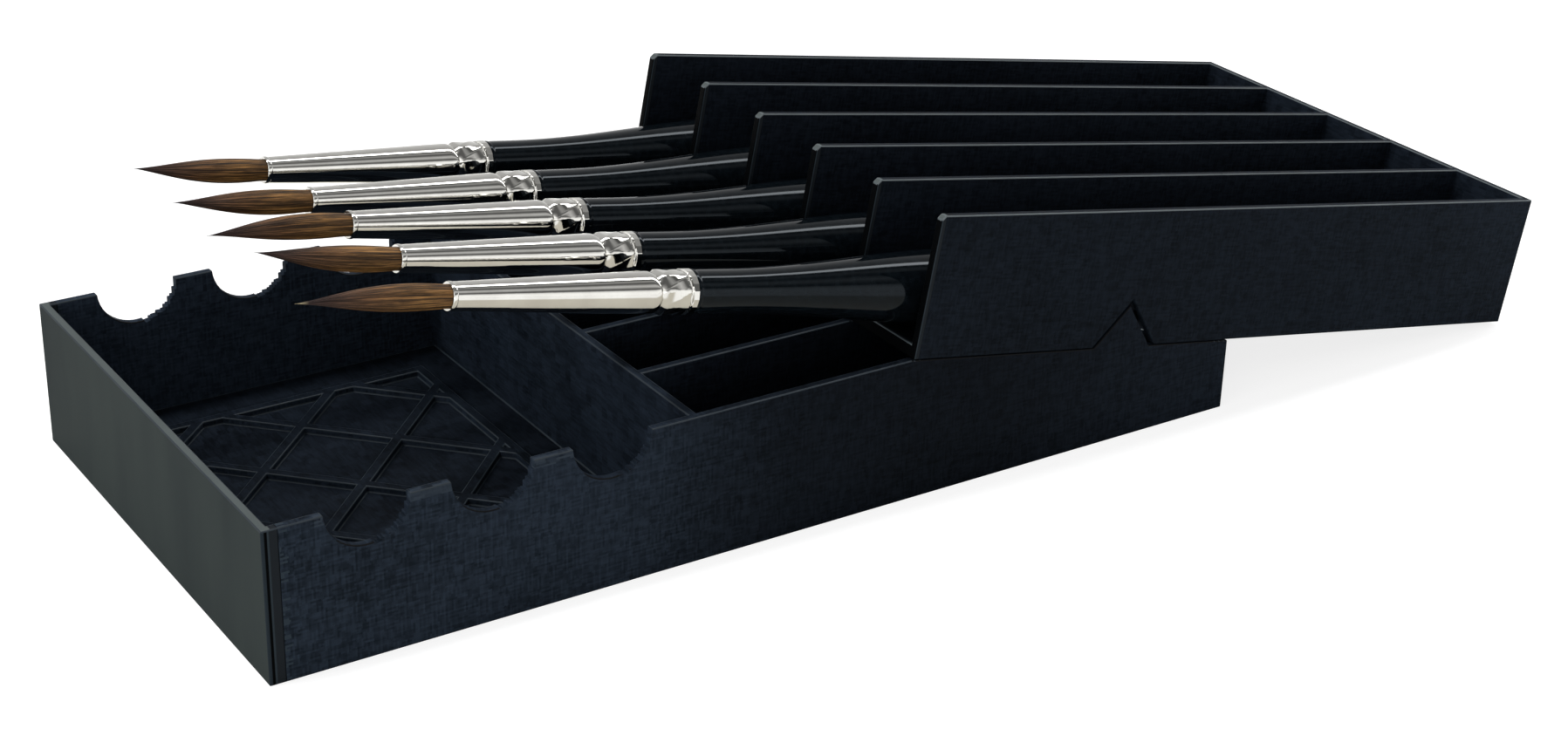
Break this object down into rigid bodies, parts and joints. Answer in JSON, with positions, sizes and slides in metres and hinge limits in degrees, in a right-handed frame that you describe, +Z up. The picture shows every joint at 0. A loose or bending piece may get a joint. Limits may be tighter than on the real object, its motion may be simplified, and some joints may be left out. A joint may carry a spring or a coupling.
{
  "type": "brush box",
  "caption": "Shallow printed box with an open well, scooped brush rests and a sloped seat; a channelled brush tray keyed onto the slope holds round brushes at a slant.",
  "frame": {"origin": "centre of the base's underside", "axes": "+X along the box from the well to the low end under the tray, +Y across the box to its far side, +Z up"},
  "size_m": [0.282, 0.1, 0.0613],
  "materials": {
    "printed_shell": "matte black printed PLA with fine layer lines",
    "lacquered_wood": "gloss black lacquer on birch",
    "nickel_plate": "polished nickel plate on drawn brass",
    "sable_hair": "straight reddish-brown hair drawn to a point"
  },
  "bodies": {
    "base": {"base": "printed_shell"},
    "tray": {"tray": "printed_shell"},
    "brush_1": {"brush_1_handle": "lacquered_wood", "brush_1_ferrule": "nickel_plate", "brush_1_hair": "sable_hair"},
    "brush_2": {"brush_2_handle": "lacquered_wood", "brush_2_ferrule": "nickel_plate", "brush_2_hair": "sable_hair"},
    "brush_3": {"brush_3_handle": "lacquered_wood", "brush_3_ferrule": "nickel_plate", "brush_3_hair": "sable_hair"},
    "brush_4": {"brush_4_handle": "lacquered_wood", "brush_4_ferrule": "nickel_plate", "brush_4_hair": "sable_hair"},
    "brush_5": {"brush_5_handle": "lacquered_wood", "brush_5_ferrule": "nickel_plate", "brush_5_hair": "sable_hair"}
  },
  "joints": [
    {"name": "tray_lift", "type": "slide", "parent": "base", "child": "tray", "axis": [0, 0, 1], "range_m": [0, 0.06]},
    {"name": "brush_1_slide", "type": "slide", "parent": "tray", "child": "brush_1", "axis": [0.9844, 0, -0.1761], "range_m": [-0.085, 0.068]},
    {"name": "brush_2_slide", "type": "slide", "parent": "tray", "child": "brush_2", "axis": [0.9844, 0, -0.1761], "range_m": [-0.085, 0.068]},
    {"name": "brush_3_slide", "type": "slide", "parent": "tray", "child": "brush_3", "axis": [0.9844, 0, -0.1761], "range_m": [-0.085, 0.068]},
    {"name": "brush_4_slide", "type": "slide", "parent": "tray", "child": "brush_4", "axis": [0.9844, 0, -0.1761], "range_m": [-0.085, 0.068]},
    {"name": "brush_5_slide", "type": "slide", "parent": "tray", "child": "brush_5", "axis": [0.9844, 0, -0.1761], "range_m": [-0.085, 0.068]}
  ]
}
